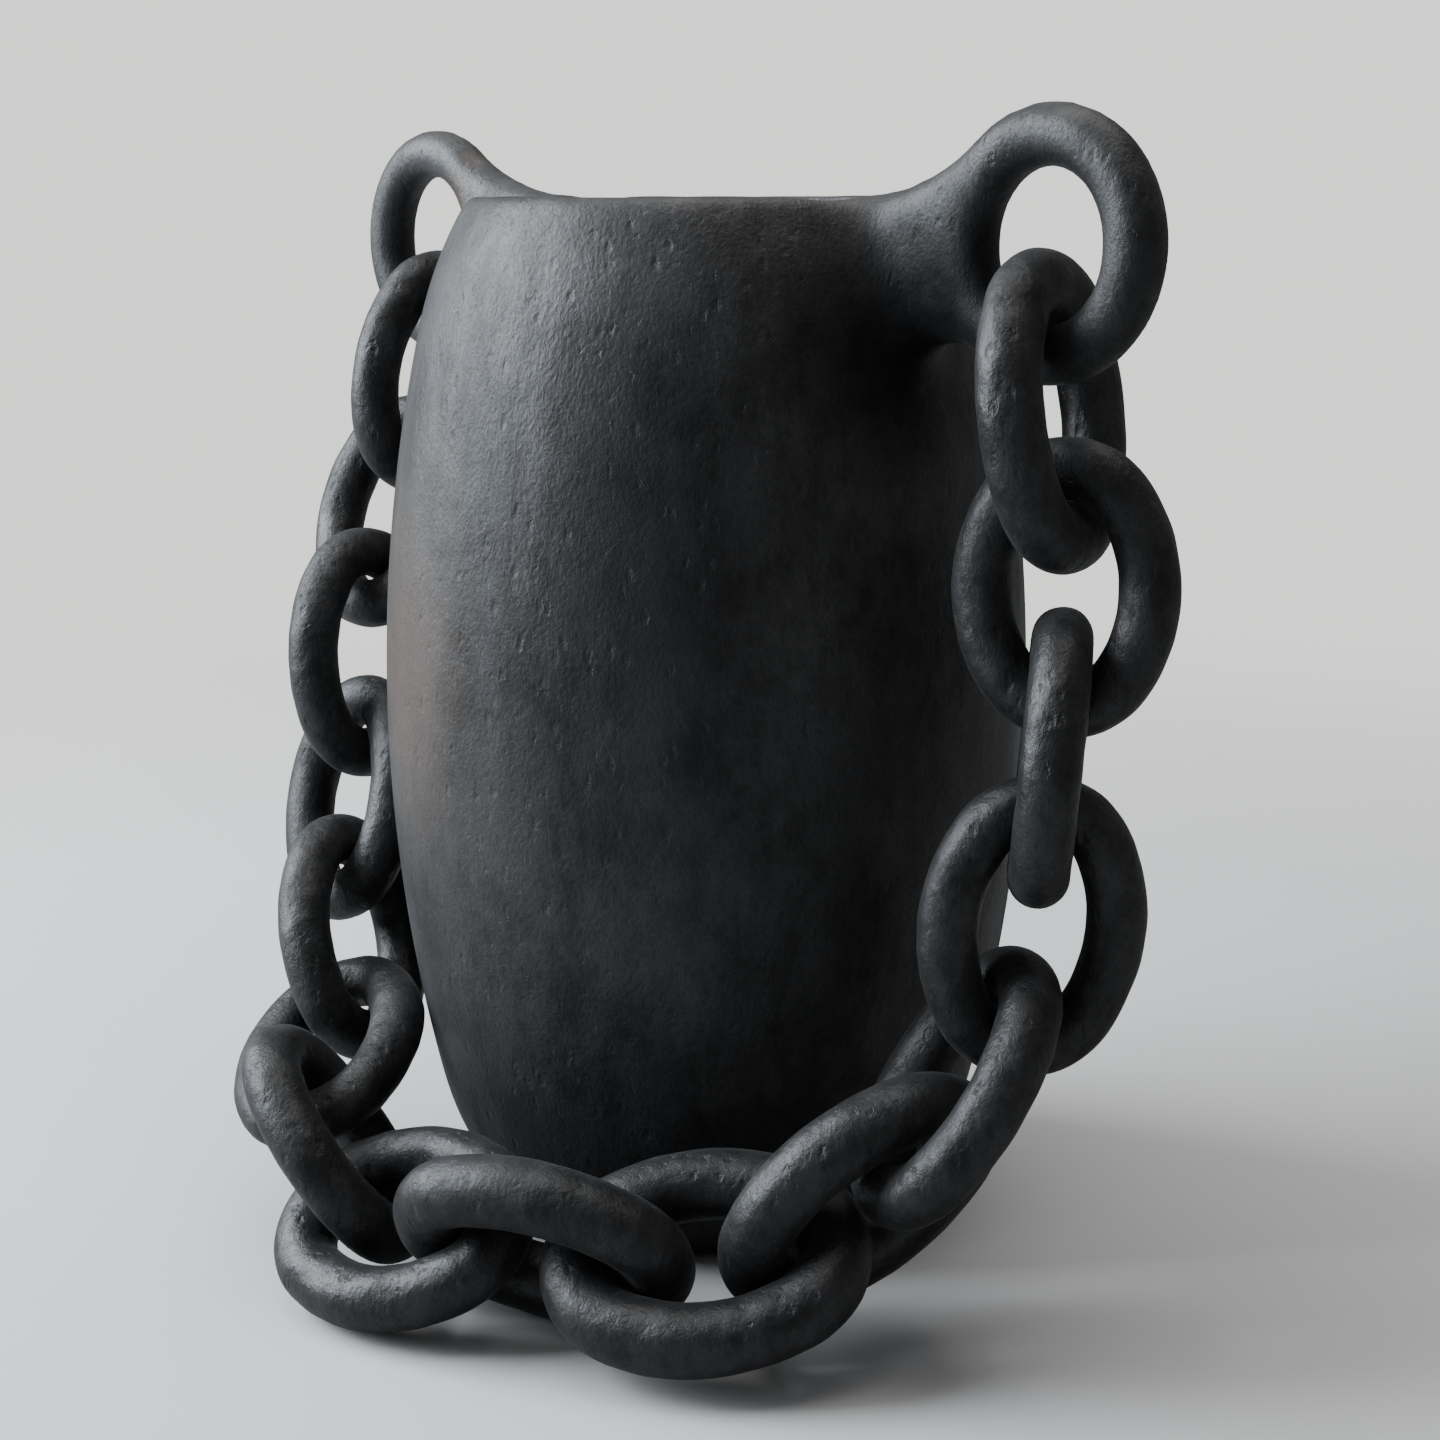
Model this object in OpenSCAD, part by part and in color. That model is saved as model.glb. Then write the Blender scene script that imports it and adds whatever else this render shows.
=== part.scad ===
// Black clay pot with two standing ring handles and a loose chain of oval clay links.
// Origin: centre of the base on the table. +Z up, +X towards the right handle, the chain lies on the -Y side.
// Units: millimetres.

/* [Pot] */
// Height of the rim above the table
rim_z = 325; // [280:1:370]
// Largest radius of the belly
belly_x = 102.6; // [85:0.1:120]
// Height of the widest place
belly_z = 165; // [140:1:190]
// Radius of the long curve of the belly
belly_r = 530; // [400:5:700]
// How far below its widest place the belly curve ends
belly_down = 123; // [100:1:140]
// How far above its widest place the belly curve ends
belly_up = 120; // [100:1:140]
// Radius of the shoulder curve
shoulder_r = 125; // [100:1:160]
// Radius of the curve that runs in to the foot
foot_r = 92; // [70:1:120]
// Thickness of the wall
wall = 6.5; // [4:0.1:10]
// Thickness of the floor
floor_t = 9; // [6:0.5:15]

/* [Ring handles] */
// Distance of each ring's centre from the pot's axis, right then left
ring_x = [139, 145]; // [120:1:160]
// Height of each ring's centre, right then left
ring_z = [310.5, 307]; // [295:0.5:320]
// Radius of each ring's centreline, right then left
ring_r = [29, 30.5]; // [24:0.5:36]
// Radius of the rolled clay of each ring, right then left
ring_tube = [8.8, 8.6]; // [7:0.1:11]
// Where the strap over the web leaves the rim, measured from the axis
strap_x = 72; // [66:1:80]
// Radius of the hollow curve under the web
under_r = 25; // [20:1:32]
// Direction from the ring's centre in which the hollow curve touches the ring
under_at = 235; // [220:1:250]
// How much thinner the web is than the rolled clay
web_step = 1.6; // [1:0.1:4]
// How deep the web is worked into the pot's wall
root_depth = 2.5; // [1.5:0.1:4]

/* [Links] */
// How tight the ends of every oval are against its half width
end_share = 0.82; // [0.7:0.01:0.95]
// How much thinner than the ends the sides of a link are rolled
join_step = 0.2; // [0.1:0.05:0.6]
// How far, in degrees, a side arc runs on inside the end arcs
join_lap = 1.5; // [0.5:0.1:3]
// Outer length, outer width and tube radius of each link, from the right handle to the left
link_size = [
    [88, 67, 9.0], [82, 63, 8.5], [83, 64, 8.5], [88, 65, 8.5],
    [88, 66, 9.0], [92, 70, 10.0], [95, 70, 10.4], [92, 69, 10.4],
    [88, 67, 9.6], [84, 65, 9.0], [87, 65, 8.6], [87, 65, 8.6],
    [87, 64, 8.6], [88, 65, 8.6], [88, 64, 8.5], [88, 64, 8.5]];

/* [Hidden] */
$fn = 96;

clay = [0.13, 0.13, 0.14];
// The angles on the belly curve at which the foot and shoulder curves take over.
foot_at = -asin(belly_down / belly_r);
shoulder_at = asin(belly_up / belly_r);
belly_c = [belly_x - belly_r, belly_z];
foot_c = belly_c + (belly_r - foot_r) * [cos(foot_at), sin(foot_at)];
shoulder_c = belly_c + (belly_r - shoulder_r) * [cos(shoulder_at), sin(shoulder_at)];
// The lip is a bead as thick as the wall, and its top is the rim.
lip_at = asin((rim_z - wall / 2 - shoulder_c[1]) / (shoulder_r - wall / 2));
foot_end = -asin(foot_c[1] / foot_r);
inner_end = asin((floor_t - foot_c[1]) / (foot_r - wall));

// Where each link hangs: its centre, then the heading, dip and roll of its long axis in degrees.
link_place = [
    [[142, 0, 267], 159, -77, 35], [[150, -2, 220], 144, -85, -26],
    [[151, -7, 174], 113, -77, 108], [[150, -11, 126], 26, -87, 120],
    [[140, -30, 81], 79, -53, 167], [[122, -49, 48], 54, -40, 122],
    [[98, -86, 31], 44, -7, -146], [[58, -113, 31], 30, 3, 124],
    [[15, -132, 26], 22, -10, -144], [[-23, -131, 40], 14, 47, 153],
    [[-58, -111, 55], -40, 16, 22], [[-89, -81, 79], -31, 51, 133],
    [[-114, -64, 120], -48, 61, 37], [[-127, -48, 167], -46, 72, 126],
    [[-139, -28, 214], -58, 60, -162], [[-144, -6, 261], -85, 72, 92]];

// Points along an arc of radius r about c, every step degrees.
function arc(c, r, from, to, step) = let (n = ceil(abs(to - from) / step))
    [for (i = [0:n]) c + r * [cos(from + (to - from) * i / n), sin(from + (to - from) * i / n)]];

// The wall is drawn up its outer face, over the lip and down its inner face to the floor.
module pot_body() color(clay) rotate_extrude() polygon(concat(
    [[0, 0]],
    arc(foot_c, foot_r, foot_end, foot_at, 3),
    arc(belly_c, belly_r, foot_at + 1, shoulder_at - 1, 1),
    arc(shoulder_c, shoulder_r, shoulder_at, lip_at, 2),
    arc(shoulder_c + (shoulder_r - wall / 2) * [cos(lip_at), sin(lip_at)], wall / 2, lip_at + 15, lip_at + 165, 15),
    arc(shoulder_c, shoulder_r - wall, lip_at, shoulder_at, 2),
    arc(belly_c, belly_r - wall, shoulder_at - 1, foot_at + 1, 1),
    arc(foot_c, foot_r - wall, foot_at, inner_end, 3),
    [[0, floor_t]]));

// A rolled arc standing in the XZ plane.
module rolled(c, r, tube, from, to) translate([c[0], 0, c[1]]) rotate([90, 0, 0])
    rotate([0, 0, from]) rotate_extrude(angle = to - from) translate([r, 0]) circle(tube);

// One handle on the +X side: the ring, the strap that falls to the rim, the web and its rolled lower edge.
module ring_handle(x, z, r, tube) {
    drop = rim_z - tube - z;
    strap_r = (pow(x - strap_x, 2) - r * r + drop * drop) / (2 * (r - drop));
    strap_c = [strap_x, rim_z - tube + strap_r];
    under_c = [x, z] + (r + under_r) * [cos(under_at), sin(under_at)];
    lean = asin((x - strap_x) / (r + strap_r));
    difference() {
        union() {
            translate([x, 0, z]) rotate([90, 0, 0]) rotate_extrude() translate([r, 0]) circle(tube);
            rolled(strap_c, strap_r, tube - web_step / 4, -90, lean - 90);
            rolled(under_c, under_r, tube - web_step / 4, under_at - 180, 180);
            rotate([90, 0, 0]) linear_extrude(2 * tube - web_step, center = true) difference() {
                polygon([[strap_x, rim_z - tube], [x, z + r], [x, z], [x, z] + r * [cos(under_at), sin(under_at)],
                    under_c, under_c - [under_r, 0]]);
                translate([x, z]) circle(r);
                translate(strap_c) circle(strap_r);
                translate(under_c) circle(under_r);
            }
        }
        rotate_extrude() polygon(concat([[0, belly_c[1]]],
            arc(belly_c, belly_r - root_depth, 0, shoulder_at - 1, 1),
            arc(shoulder_c, shoulder_r - root_depth, shoulder_at, lip_at, 2), [[0, rim_z]]));
    }
}

module ring_handle_right() color(clay) ring_handle(ring_x[0], ring_z[0], ring_r[0], ring_tube[0]);
module ring_handle_left() color(clay) mirror([1, 0, 0]) ring_handle(ring_x[1], ring_z[1], ring_r[1], ring_tube[1]);

// One closed link, flat in XY with its long axis on X: two tight end arcs and two long side arcs.
// The side arcs are rolled a little thinner and run a short way inside the end arcs.
module oval_link(size) {
    tube = size[2];
    a = size[0] / 2 - tube;
    b = size[1] / 2 - tube;
    end_r = end_share * b;
    side_r = (pow(a - end_r, 2) + b * b - end_r * end_r) / (2 * (b - end_r));
    half = atan2(a - end_r, side_r - b);
    for (turn = [0, 180]) rotate(turn) {
        translate([a - end_r, 0]) rotate(half - 90)
            rotate_extrude(angle = 180 - 2 * half) translate([end_r, 0]) circle(tube);
        translate([0, b - side_r]) rotate(90 - half - join_lap)
            rotate_extrude(angle = 2 * (half + join_lap)) translate([side_r, 0]) circle(tube - join_step);
    }
}

module hung_link(number) color(clay) {
    place = link_place[number - 1];
    translate(place[0]) rotate([place[3], place[2], place[1]]) oval_link(link_size[number - 1]);
}

module link_01() hung_link(1);
module link_02() hung_link(2);
module link_03() hung_link(3);
module link_04() hung_link(4);
module link_05() hung_link(5);
module link_06() hung_link(6);
module link_07() hung_link(7);
module link_08() hung_link(8);
module link_09() hung_link(9);
module link_10() hung_link(10);
module link_11() hung_link(11);
module link_12() hung_link(12);
module link_13() hung_link(13);
module link_14() hung_link(14);
module link_15() hung_link(15);
module link_16() hung_link(16);

pot_body();
ring_handle_right();
ring_handle_left();
link_01();
link_02();
link_03();
link_04();
link_05();
link_06();
link_07();
link_08();
link_09();
link_10();
link_11();
link_12();
link_13();
link_14();
link_15();
link_16();
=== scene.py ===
# Black clay pot with two standing ring handles and a loose chain of oval clay links.
from math import atan2, cos, pi, radians, sin

import bmesh
import bpy
from mathutils import Euler, Matrix, Vector, noise
from mathutils.bvhtree import BVHTree


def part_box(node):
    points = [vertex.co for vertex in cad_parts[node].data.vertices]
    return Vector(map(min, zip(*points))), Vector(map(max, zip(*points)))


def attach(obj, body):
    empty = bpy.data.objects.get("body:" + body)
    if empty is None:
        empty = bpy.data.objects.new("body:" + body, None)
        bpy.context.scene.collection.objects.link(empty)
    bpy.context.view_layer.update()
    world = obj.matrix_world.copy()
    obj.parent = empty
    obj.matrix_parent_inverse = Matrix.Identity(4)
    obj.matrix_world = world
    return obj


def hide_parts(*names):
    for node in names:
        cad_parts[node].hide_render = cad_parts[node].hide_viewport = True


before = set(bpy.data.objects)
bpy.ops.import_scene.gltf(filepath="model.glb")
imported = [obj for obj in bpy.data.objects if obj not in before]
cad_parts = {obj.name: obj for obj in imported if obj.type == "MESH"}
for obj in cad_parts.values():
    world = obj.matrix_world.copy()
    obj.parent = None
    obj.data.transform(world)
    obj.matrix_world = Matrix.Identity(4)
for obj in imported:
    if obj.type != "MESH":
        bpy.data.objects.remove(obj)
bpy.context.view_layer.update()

# The viewpoint: someone standing close at the pot's right front, with their eye level with the rim.
# They look a little down at it through a short telephoto lens.
VIEW_PLACE = (0.5453, -0.4733, 0.325)
VIEW_TURN = 48.7
VIEW_DOWN = 13.09
lens = bpy.data.cameras.new("viewpoint")
lens.lens = 57.0
lens.sensor_width = 36.0
lens.clip_end = 50.0
viewpoint = bpy.data.objects.new("viewpoint", lens)
viewpoint.location = VIEW_PLACE
viewpoint.rotation_euler = (radians(90 - VIEW_DOWN), 0, radians(VIEW_TURN))
bpy.context.collection.objects.link(viewpoint)
bpy.context.scene.camera = viewpoint

# The table: a wide pale slab of honed stone that the pot and the slack of the chain rest on.
# It only stages the pot, so it is one large flat sheet that fades into the pale wall behind.
TABLE_RADIUS = 12.0
TABLE_FADE = (0.30, 1.1)
STONE_TONES = ((0.86, 0.855, 0.85, 1), (0.93, 0.925, 0.92, 1))
STONE_BOUNCE = (0.30, 0.30, 0.30, 1)
WALL_TONE = (1.34, 1.33, 1.30, 1)
slab = bmesh.new()
bmesh.ops.create_circle(slab, cap_ends=True, radius=TABLE_RADIUS, segments=96)
table_mesh = bpy.data.meshes.new("table")
slab.to_mesh(table_mesh)
slab.free()
table = bpy.data.objects.new("table", table_mesh)
bpy.context.collection.objects.link(table)

stone = bpy.data.materials.new("honed_stone")
stone.use_nodes = True
stone_nodes, stone_links = stone.node_tree.nodes, stone.node_tree.links
stone_shader = stone_nodes["Principled BSDF"]
stone_shader.inputs["Roughness"].default_value = 0.75
stone_place = stone_nodes.new("ShaderNodeTexCoord")
stone_cloud = stone_nodes.new("ShaderNodeTexNoise")
stone_cloud.inputs["Scale"].default_value = 5.0
stone_cloud.inputs["Detail"].default_value = 6.0
stone_tint = stone_nodes.new("ShaderNodeValToRGB")
for stop, stone_tone in zip(stone_tint.color_ramp.elements, STONE_TONES):
    stop.color = stone_tone
stone_links.new(stone_place.outputs["Object"], stone_cloud.inputs["Vector"])
stone_links.new(stone_cloud.outputs["Fac"], stone_tint.inputs["Fac"])
stone_links.new(stone_tint.outputs["Color"], stone_shader.inputs["Base Color"])
# Far from the pot the stone takes the wall's own tone.
stone_reach = stone_nodes.new("ShaderNodeVectorMath")
stone_reach.operation = "LENGTH"
stone_links.new(stone_place.outputs["Object"], stone_reach.inputs[0])
stone_fade = stone_nodes.new("ShaderNodeMapRange")
stone_fade.interpolation_type = "SMOOTHSTEP"
stone_fade.inputs["From Min"].default_value, stone_fade.inputs["From Max"].default_value = TABLE_FADE
stone_links.new(stone_reach.outputs["Value"], stone_fade.inputs["Value"])
stone_far = stone_nodes.new("ShaderNodeEmission")
stone_far.inputs["Color"].default_value = WALL_TONE
stone_seen = stone_nodes.new("ShaderNodeMixShader")
stone_links.new(stone_fade.outputs["Result"], stone_seen.inputs["Fac"])
stone_links.new(stone_shader.outputs["BSDF"], stone_seen.inputs[1])
stone_links.new(stone_far.outputs["Emission"], stone_seen.inputs[2])
# Up close it throws only a little light back at the clay.
stone_bounce = stone_nodes.new("ShaderNodeBsdfDiffuse")
stone_bounce.inputs["Color"].default_value = STONE_BOUNCE
stone_rays = stone_nodes.new("ShaderNodeLightPath")
stone_mix = stone_nodes.new("ShaderNodeMixShader")
stone_links.new(stone_rays.outputs["Is Camera Ray"], stone_mix.inputs["Fac"])
stone_links.new(stone_bounce.outputs["BSDF"], stone_mix.inputs[1])
stone_links.new(stone_seen.outputs["Shader"], stone_mix.inputs[2])
stone_links.new(stone_mix.outputs["Shader"], stone_nodes["Material Output"].inputs["Surface"])
table_mesh.materials.append(stone)

# The light: one tall soft window on the viewer's left, a small lift from above, and a pale room.
# The room is dim to the clay, which is why the pot's right side goes nearly black.
ROOM_GLOW = (0.80, 0.82, 0.85, 1)
ROOM_GLOW_STRENGTH = 0.18


def soft_light(name, place, aim, size, watts, tint):
    lamp = bpy.data.lights.new(name, "AREA")
    lamp.shape = "RECTANGLE"
    lamp.size, lamp.size_y = size
    lamp.energy = watts
    lamp.color = tint
    panel = bpy.data.objects.new(name, lamp)
    panel.location = place
    panel.rotation_euler = (Vector(aim) - Vector(place)).to_track_quat("-Z", "Y").to_euler()
    bpy.context.collection.objects.link(panel)


soft_light("window", place=(-1.24, -1.08, 1.02), aim=(0, 0, 0.18), size=(1.4, 1.5), watts=74.0,
           tint=(0.86, 0.93, 1.0))
soft_light("ceiling", place=(-0.2, 0.1, 1.9), aim=(0, 0, 0.1), size=(1.6, 1.6), watts=18.0,
           tint=(1.0, 0.98, 0.96))

room = bpy.data.worlds.new("room")
room.use_nodes = True
bpy.context.scene.world = room
room_tree = room.node_tree
room_glow = room_tree.nodes["Background"]
room_glow.inputs["Color"].default_value = ROOM_GLOW
room_glow.inputs["Strength"].default_value = ROOM_GLOW_STRENGTH
room_wall = room_tree.nodes.new("ShaderNodeBackground")
room_wall.inputs["Color"].default_value = WALL_TONE
room_wall.inputs["Strength"].default_value = 1.0
room_rays = room_tree.nodes.new("ShaderNodeLightPath")
room_mix = room_tree.nodes.new("ShaderNodeMixShader")
room_tree.links.new(room_rays.outputs["Is Camera Ray"], room_mix.inputs["Fac"])
room_tree.links.new(room_glow.outputs["Background"], room_mix.inputs[1])
room_tree.links.new(room_wall.outputs["Background"], room_mix.inputs[2])
room_tree.links.new(room_mix.outputs["Shader"], room_tree.nodes["World Output"].inputs["Surface"])

# The pot with its handles: one hollow body of black clay, coiled and scraped, with the rings and
# webs worked into the wall while it was wet, then burnished with a stone and smoke-fired.
POT_GRAIN = 0.0025
WEB_NEAR = 0.016
WEB_PASSES = 64
RIM_KEPT = 0.018
RIM_SHARE = 0.15
SKIN_PASSES = 9
BUMP_DEPTH = 0.0007
BUMP_STRENGTH = 0.7


def burnished_clay(name, shades, roughness, streaks, cloud_scale, palm_scale, palm_depth, nick_depth, stains_and_shade):
    """Black clay with tone clouds, burnishing strokes, pits, a soft sheen, stained patches from the fire and
    patches of painted shade.

    Each patch, stained or of painted shade, is its centre, its reach, its tone, its share at the heart and
    how matt it leaves the clay.
    """
    clay = bpy.data.materials.new(name)
    clay.use_nodes = True
    nodes, links = clay.node_tree.nodes, clay.node_tree.links
    shader = nodes["Principled BSDF"]
    place = nodes.new("ShaderNodeTexCoord")

    def mapped(scale, turn=(0, 0, 0)):
        mapping = nodes.new("ShaderNodeMapping")
        mapping.inputs["Scale"].default_value = scale
        mapping.inputs["Rotation"].default_value = turn
        links.new(place.outputs["Object"], mapping.inputs["Vector"])
        return mapping.outputs["Vector"]

    def noise_of(vector, scale, detail, rough=0.5, warp=0.0):
        grain = nodes.new("ShaderNodeTexNoise")
        grain.inputs["Scale"].default_value = scale
        grain.inputs["Detail"].default_value = detail
        grain.inputs["Roughness"].default_value = rough
        grain.inputs["Distortion"].default_value = warp
        links.new(vector, grain.inputs["Vector"])
        return grain.outputs["Fac"]

    def ramp(value, stops):
        scale = nodes.new("ShaderNodeValToRGB")
        while len(scale.color_ramp.elements) < len(stops):
            scale.color_ramp.elements.new(0.5)
        for element, (at, tone) in zip(scale.color_ramp.elements, stops):
            element.position = at
            element.color = (*tone, 1) if isinstance(tone, tuple) else (tone, tone, tone, 1)
        links.new(value, scale.inputs["Fac"])
        return scale.outputs["Color"]

    def blend(kind, share, a, b):
        mix = nodes.new("ShaderNodeMix")
        mix.data_type = "RGBA"
        mix.blend_type = kind
        if isinstance(share, float):
            mix.inputs["Factor"].default_value = share
        else:
            links.new(share, mix.inputs["Factor"])
        for socket, value in ((mix.inputs["A"], a), (mix.inputs["B"], b)):
            if isinstance(value, tuple):
                socket.default_value = (*value, 1)
            else:
                links.new(value, socket)
        return mix.outputs["Result"]

    def reckon(kind, a, b):
        node = nodes.new("ShaderNodeMath")
        node.operation = kind
        for socket, value in zip(node.inputs, (a, b)):
            if isinstance(value, float):
                socket.default_value = value
            else:
                links.new(value, socket)
        return node.outputs["Value"]

    # The fire's slow clouds and finer mottling, and the strokes and bands of the burnishing stone.
    whole = mapped((1, 1, 1))
    cloud = noise_of(whole, cloud_scale, 6.0, 0.62, 0.15)
    mottle = noise_of(mapped((cloud_scale * 3.2, cloud_scale * 3.2, cloud_scale * 2.0)), 1.0, 9.0, 0.74)
    stroke = noise_of(mapped(streaks, (0.0, 0.12, 0.06)), 1.0, 6.0, 0.62)
    bands = noise_of(mapped(tuple(streak * 0.35 for streak in streaks), (0.0, 0.10, 0.0)), 1.0, 2.0, 0.5)
    # The flats that palms leave, the lumps of the clay and its grit.
    palms = noise_of(whole, palm_scale, 2.0, 0.5, 0.2)
    lumps = noise_of(mapped((760, 760, 520), (0.5, 0.5, 0.0)), 1.0, 4.0, 0.6)
    grit = noise_of(whole, 1100.0, 3.0, 0.65)
    # Ragged nicks, only here and there.
    ragged = blend("LINEAR_LIGHT", 0.25, mapped((230, 230, 120), (0.7, 0.4, 0.0)), lumps)
    pits = nodes.new("ShaderNodeTexVoronoi")
    pits.inputs["Scale"].default_value = 1.0
    links.new(ragged, pits.inputs["Vector"])
    untouched = ramp(noise_of(whole, 90.0, 2.0, 0.5), [(0.48, 1.0), (0.58, 0.0)])
    nicks = reckon("MAXIMUM", ramp(pits.outputs["Distance"], [(0.10, 0.0), (0.34, 1.0)]), untouched)

    tone = ramp(cloud, [(0.30, shades[0]), (0.50, shades[1]), (0.72, shades[2])])
    tone = blend("MULTIPLY", 0.7, tone, ramp(stroke, [(0.30, 0.5), (0.68, 1.0)]))
    tone = blend("MULTIPLY", 0.7, tone, ramp(lumps, [(0.32, 0.4), (0.56, 1.0)]))
    tone = blend("MULTIPLY", 0.85, tone, ramp(mottle, [(0.38, 0.25), (0.58, 1.0)]))
    tone = blend("MULTIPLY", 0.5, tone, ramp(grit, [(0.32, 0.45), (0.55, 1.0)]))
    polish = ramp(mottle, [(0.36, 0.42), (0.58, 0.72)])
    # Each patch, stained by the fire or of painted shade, lays its tone over the clay and dulls its polish.
    for centre, reach, patch_tone, heart, matted in stains_and_shade:
        from_centre = nodes.new("ShaderNodeMapping")
        from_centre.vector_type = "TEXTURE"
        from_centre.inputs["Location"].default_value = centre
        from_centre.inputs["Scale"].default_value = reach
        links.new(place.outputs["Object"], from_centre.inputs["Vector"])
        fade = nodes.new("ShaderNodeTexGradient")
        fade.gradient_type = "SPHERICAL"
        links.new(from_centre.outputs["Vector"], fade.inputs["Vector"])
        inward = ramp(fade.outputs["Fac"], [(0.0, 0.0), (0.7, heart)])
        share = reckon("MULTIPLY", inward, ramp(cloud, [(0.36, 0.3), (0.58, 1.0)]))
        tone = blend("MIX", share, tone, patch_tone)
        polish = blend("MIX", reckon("MULTIPLY", share, matted), polish, (0.0, 0.0, 0.0))
    links.new(tone, shader.inputs["Base Color"])

    rough = ramp(cloud, [(0.32, roughness + 0.08), (0.70, roughness)])
    rough = blend("ADD", 0.25, rough, ramp(stroke, [(0.30, 0.35), (0.70, 0.0)]))
    rough = blend("ADD", 0.25, rough, ramp(bands, [(0.35, 0.4), (0.65, 0.0)]))
    rough = blend("ADD", 0.30, rough, ramp(grit, [(0.30, 0.5), (0.50, 0.0)]))
    links.new(rough, shader.inputs["Roughness"])
    shader.inputs["IOR"].default_value = 1.52
    shader.inputs["Specular IOR Level"].default_value = 0.6
    links.new(polish, shader.inputs["Specular IOR Level"])
    shader.inputs["Sheen Weight"].default_value = 0.08
    shader.inputs["Sheen Roughness"].default_value = 0.45

    relief = reckon("MULTIPLY", stroke, 0.35)
    for marks, depth in ((lumps, 0.52), (bands, 1.2), (grit, 0.22), (palms, palm_depth), (nicks, nick_depth)):
        relief = reckon("ADD", relief, reckon("MULTIPLY", marks, depth))
    bump = nodes.new("ShaderNodeBump")
    bump.inputs["Strength"].default_value = BUMP_STRENGTH
    bump.inputs["Distance"].default_value = BUMP_DEPTH
    links.new(relief, bump.inputs["Height"])
    links.new(bump.outputs["Normal"], shader.inputs["Normal"])
    return clay


POT_SHADES = ((0.016, 0.0165, 0.018), (0.042, 0.0425, 0.045), (0.068, 0.068, 0.070))
POT_STREAKS = (130, 130, 18)
FLAME_MARK = ((-0.024, -0.098, 0.188), (0.042, 0.040, 0.080), (0.092, 0.069, 0.055), 0.95, 0.1)
LOW_SOOT = ((-0.010, -0.086, 0.045), (0.060, 0.050, 0.045), (0.010, 0.010, 0.011), 1.0, 0.5)
RIGHT_SOOT = ((0.062, -0.075, 0.220), (0.042, 0.040, 0.075), (0.012, 0.012, 0.013), 0.8, 0.3)
# Painted shade: a near-black, fully matt patch on the web under the right handle, standing in for the shade
# that falls there.
WEB_PAINTED_SHADE = ((0.102, -0.014, 0.286), (0.044, 0.040, 0.046), (0.009, 0.009, 0.010), 1.0, 1.0)
LEFT_EYE_BROWN = ((-0.122, 0.000, 0.318), (0.012, 0.014, 0.024), (0.115, 0.068, 0.045), 0.9, 0.0)
pot_clay = burnished_clay(
    "burnished_clay_pot", POT_SHADES, roughness=0.35, streaks=POT_STREAKS, cloud_scale=11.0,
    palm_scale=60.0, palm_depth=0.9, nick_depth=0.42,
    stains_and_shade=(FLAME_MARK, LOW_SOOT, RIGHT_SOOT, WEB_PAINTED_SHADE, LEFT_EYE_BROWN))

MERGE_NEAR = 0.00001


def copied(node):
    """A merged copy of a fixed node's own mesh."""
    shape = bmesh.new()
    shape.from_mesh(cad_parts[node].data)
    bmesh.ops.remove_doubles(shape, verts=shape.verts, dist=MERGE_NEAR)
    return shape


def rubbed(shape, verts):
    """One pass of a wet hand: each vertex moves halfway to the middle of its neighbours."""
    bmesh.ops.smooth_vert(shape, verts=verts, factor=0.5, use_axis_x=True, use_axis_y=True, use_axis_z=True)


wet = bmesh.new()
for node in ("pot_body", "ring_handle_right", "ring_handle_left"):
    part = copied(node)
    raw = bpy.data.meshes.new(node + "_raw")
    part.to_mesh(raw)
    part.free()
    wet.from_mesh(raw)
    bpy.data.meshes.remove(raw)
pot_mesh = bpy.data.meshes.new("pot_with_handles")
wet.to_mesh(pot_mesh)
wet.free()
pot = bpy.data.objects.new("pot_with_handles", pot_mesh)
bpy.context.collection.objects.link(pot)
joining = pot.modifiers.new("joining", "REMESH")
joining.mode = "VOXEL"
joining.voxel_size = POT_GRAIN
joining.use_smooth_shade = True
seen = pot.evaluated_get(bpy.context.evaluated_depsgraph_get())
joined_mesh = bpy.data.meshes.new_from_object(seen)
pot.modifiers.clear()
pot.data = joined_mesh
bpy.data.meshes.remove(pot_mesh)

# Wet hands then smooth the corners round the webs, and at last the whole skin.
skin = bmesh.new()
skin.from_mesh(joined_mesh)
pot_skin = BVHTree.FromBMesh(copied("pot_body"))
handle_skins = [BVHTree.FromBMesh(copied(node)) for node in ("ring_handle_right", "ring_handle_left")]
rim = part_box("pot_body")[1].z
passes_due = {}
for vert in skin.verts:
    by_handle = any(handle.find_nearest(vert.co, WEB_NEAR)[3] is not None for handle in handle_skins)
    if by_handle and pot_skin.find_nearest(vert.co, WEB_NEAR)[3] is not None:
        below_rim = min(max((rim - vert.co.z) / RIM_KEPT, RIM_SHARE), 1)
        passes_due[vert] = WEB_PASSES * below_rim
for turn in range(WEB_PASSES):
    rubbed(skin, [vert for vert, due in passes_due.items() if due > turn])
for _ in range(SKIN_PASSES):
    rubbed(skin, skin.verts)
skin.to_mesh(joined_mesh)
skin.free()
joined_mesh.materials.clear()
joined_mesh.materials.append(pot_clay)
for face in joined_mesh.polygons:
    face.use_smooth = True
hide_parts("pot_body", "ring_handle_right", "ring_handle_left")
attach(pot, "pot")

# The chain: closed ovals of hand-rolled clay, each bent round the last while soft and pinched shut,
# so the coil swells and thins along its run and carries nicks from the tools.

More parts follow.
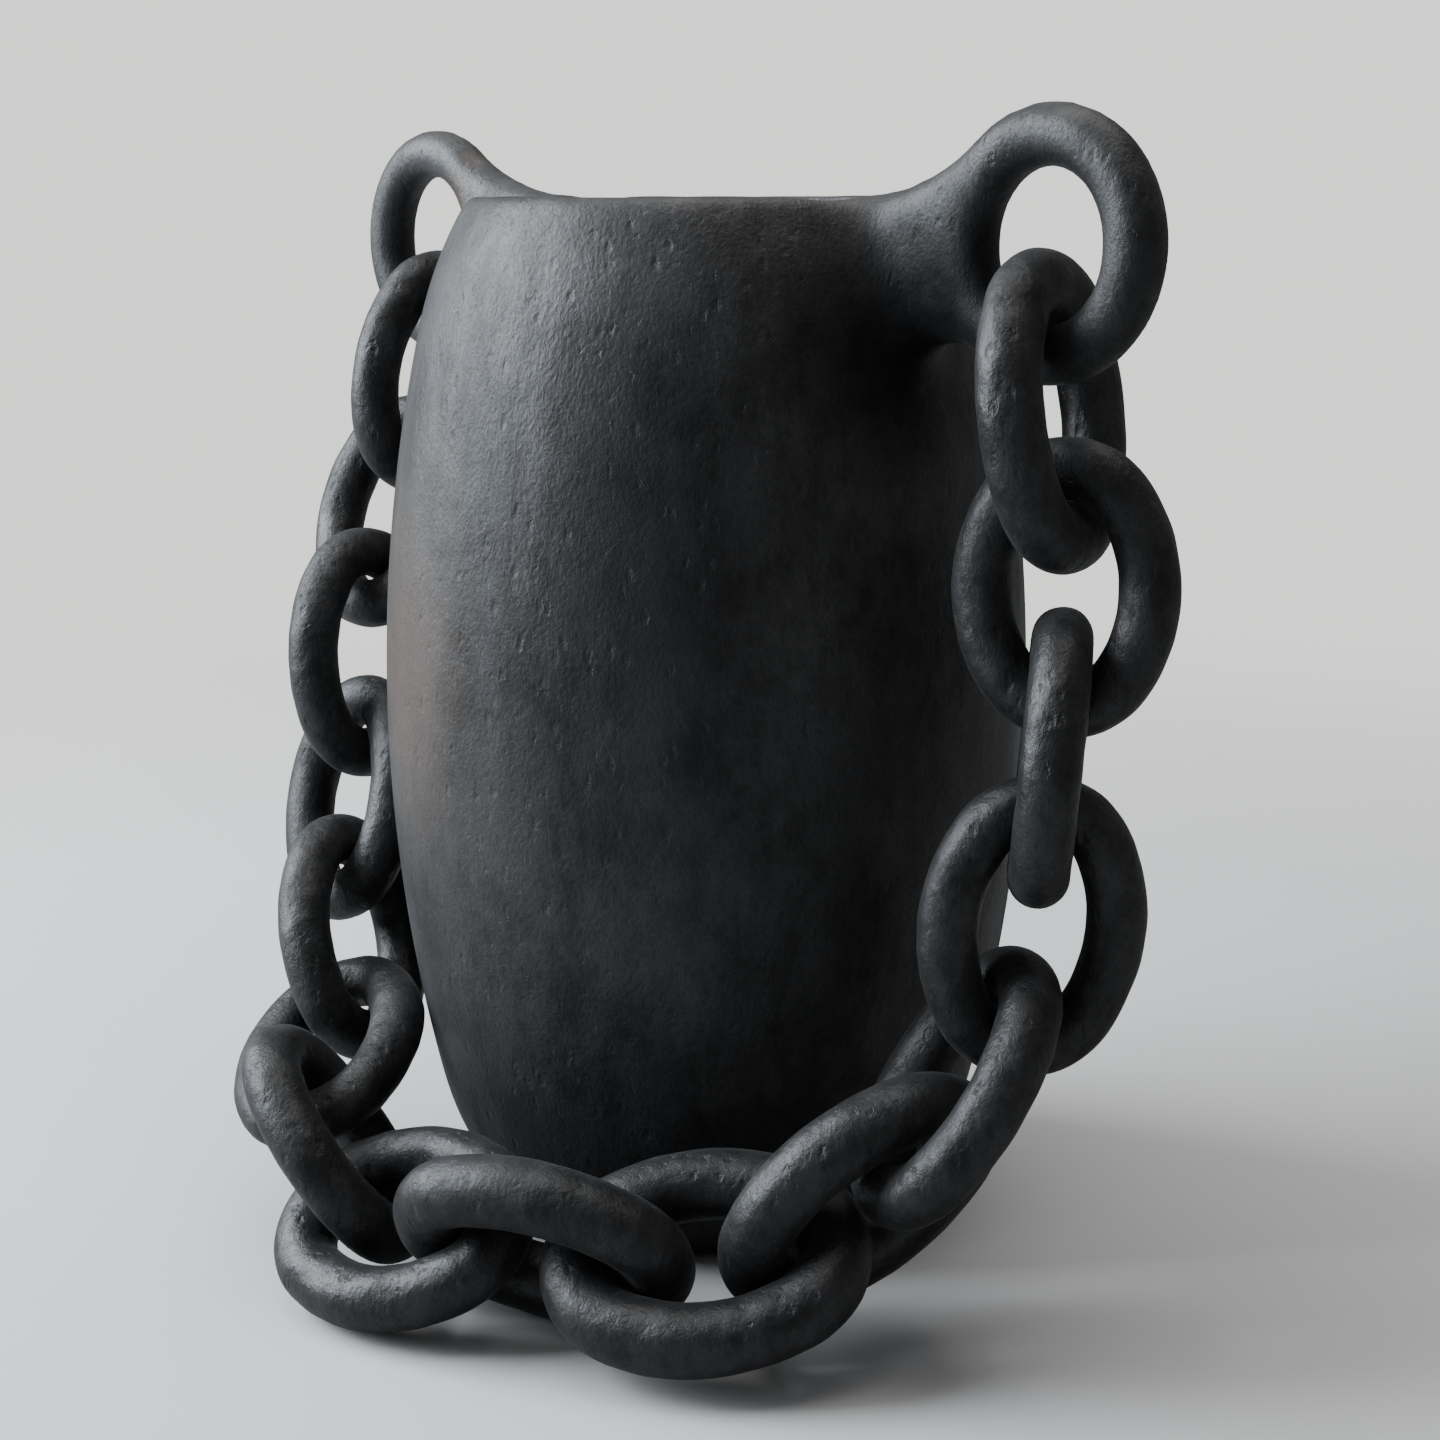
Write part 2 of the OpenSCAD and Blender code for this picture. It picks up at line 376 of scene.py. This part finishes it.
# Sizes are outer length, outer width and the coil's radius; places are the centre, then the heading,
# dip and roll of the long axis in degrees. Both are in millimetres, from the right handle to the left.
LINK_SIZE = [
    (88, 67, 9.0), (82, 63, 8.5), (83, 64, 8.5), (88, 65, 8.5), (88, 66, 9.0), (92, 70, 10.0),
    (95, 70, 10.4), (92, 69, 10.4), (88, 67, 9.6), (84, 65, 9.0), (87, 65, 8.6), (87, 65, 8.6),
    (87, 64, 8.6), (88, 65, 8.6), (88, 64, 8.5), (88, 64, 8.5)]
LINK_PLACE = [
    ((142, 0, 267), 159, -77, 35), ((150, -2, 220), 144, -85, -26), ((151, -7, 174), 113, -77, 108),
    ((150, -11, 126), 26, -87, 120), ((140, -30, 81), 79, -53, 167), ((122, -49, 48), 54, -40, 122),
    ((98, -86, 31), 44, -7, -146), ((58, -113, 31), 30, 3, 124), ((15, -132, 26), 22, -10, -144),
    ((-23, -131, 40), 14, 47, 153), ((-58, -111, 55), -40, 16, 22), ((-89, -81, 79), -31, 51, 133),
    ((-114, -64, 120), -48, 61, 37), ((-127, -48, 167), -46, 72, 126), ((-139, -28, 214), -58, 60, -162),
    ((-144, -6, 261), -85, 72, 92)]
END_SHARE = 0.82
STATIONS = 120
ROUND = 36
SWELL, SWELLS_PER_METRE = 0.00030, 38
DENT, DENTS_PER_METRE = 0.00022, 140
ROLLED_UNDER = 0.00012
LINK_SHIFT = (3.7, 1.9, 5.3)
LINK_SHADES = ((0.014, 0.0145, 0.016), (0.025, 0.0255, 0.0275), (0.044, 0.044, 0.046))
link_clay = burnished_clay(
    "burnished_clay_links", LINK_SHADES, roughness=0.32, streaks=(60, 60, 60), cloud_scale=26.0,
    palm_scale=85.0, palm_depth=2.4, nick_depth=0.6, stains_and_shade=())


def oval_course(long, wide, tube):
    """A flat oval of two tight ends and two long sides: where the coil's section stands at a share of it."""
    a, b = long / 2 - tube, wide / 2 - tube
    end_r = END_SHARE * b
    side_r = ((a - end_r) ** 2 + b * b - end_r * end_r) / (2 * (b - end_r))
    half = atan2(a - end_r, side_r - b)
    end_turn, side_turn = pi - 2 * half, 2 * half
    arcs = [
        ((a - end_r, 0), end_r, half - pi / 2, end_turn),
        ((0, b - side_r), side_r, pi / 2 - half, side_turn),
        ((end_r - a, 0), end_r, half + pi / 2, end_turn),
        ((0, side_r - b), side_r, 3 * pi / 2 - half, side_turn)]
    total = sum(r * turn for _, r, _, turn in arcs)

    def section_at(share):
        run = share * total
        for (cx, cy), r, start, turn in arcs:
            if run <= r * turn:
                angle = start + run / r
                moved = Matrix.Translation((cx + r * cos(angle), cy + r * sin(angle), 0))
                return moved @ Matrix.Rotation(angle, 4, "Z") @ Matrix.Rotation(pi / 2, 4, "X")
            run -= r * turn
    return section_at


for number, (size, (centre, heading, dip, roll)) in enumerate(zip(LINK_SIZE, LINK_PLACE), 1):
    long, wide, tube = (value / 1000 for value in size)
    section_at = oval_course(long, wide, tube)
    hang = Matrix.Translation(Vector(centre) / 1000) @ Euler(
        (radians(roll), radians(dip), radians(heading)), "XYZ").to_matrix().to_4x4()
    coil = bmesh.new()
    ring = bmesh.ops.create_circle(coil, cap_ends=False, radius=tube, segments=ROUND)["verts"]
    here = section_at(0)
    bmesh.ops.transform(coil, matrix=here, verts=ring)
    edges = list(coil.edges)
    first_edges = edges
    for station in range(1, STATIONS):
        grown = bmesh.ops.extrude_edge_only(coil, edges=edges)["geom"]
        verts = [item for item in grown if isinstance(item, bmesh.types.BMVert)]
        edges = [item for item in grown if isinstance(item, bmesh.types.BMEdge)]
        ahead = section_at(station / STATIONS)
        bmesh.ops.transform(coil, matrix=ahead @ here.inverted(), verts=verts)
        here = ahead
    bmesh.ops.bridge_loops(coil, edges=first_edges + edges)
    bmesh.ops.recalc_face_normals(coil, faces=coil.faces)
    coil.normal_update()
    shift = Vector([number * step for step in LINK_SHIFT])
    moves = []
    for vert in coil.verts:
        swell = noise.noise(vert.co * SWELLS_PER_METRE + shift) * SWELL
        dent = noise.noise(vert.co * DENTS_PER_METRE + shift) * DENT
        moves.append((vert, vert.normal * (swell + dent - ROLLED_UNDER)))
    for vert, move in moves:
        vert.co += move
    bmesh.ops.transform(coil, matrix=hang, verts=coil.verts)
    link_mesh = bpy.data.meshes.new(f"chain_link_{number:02d}")
    coil.to_mesh(link_mesh)
    coil.free()
    for face in link_mesh.polygons:
        face.use_smooth = True
    link_mesh.materials.append(link_clay)
    link = bpy.data.objects.new(f"chain_link_{number:02d}", link_mesh)
    bpy.context.collection.objects.link(link)
    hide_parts(f"link_{number:02d}")
    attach(link, f"link_{number:02d}")
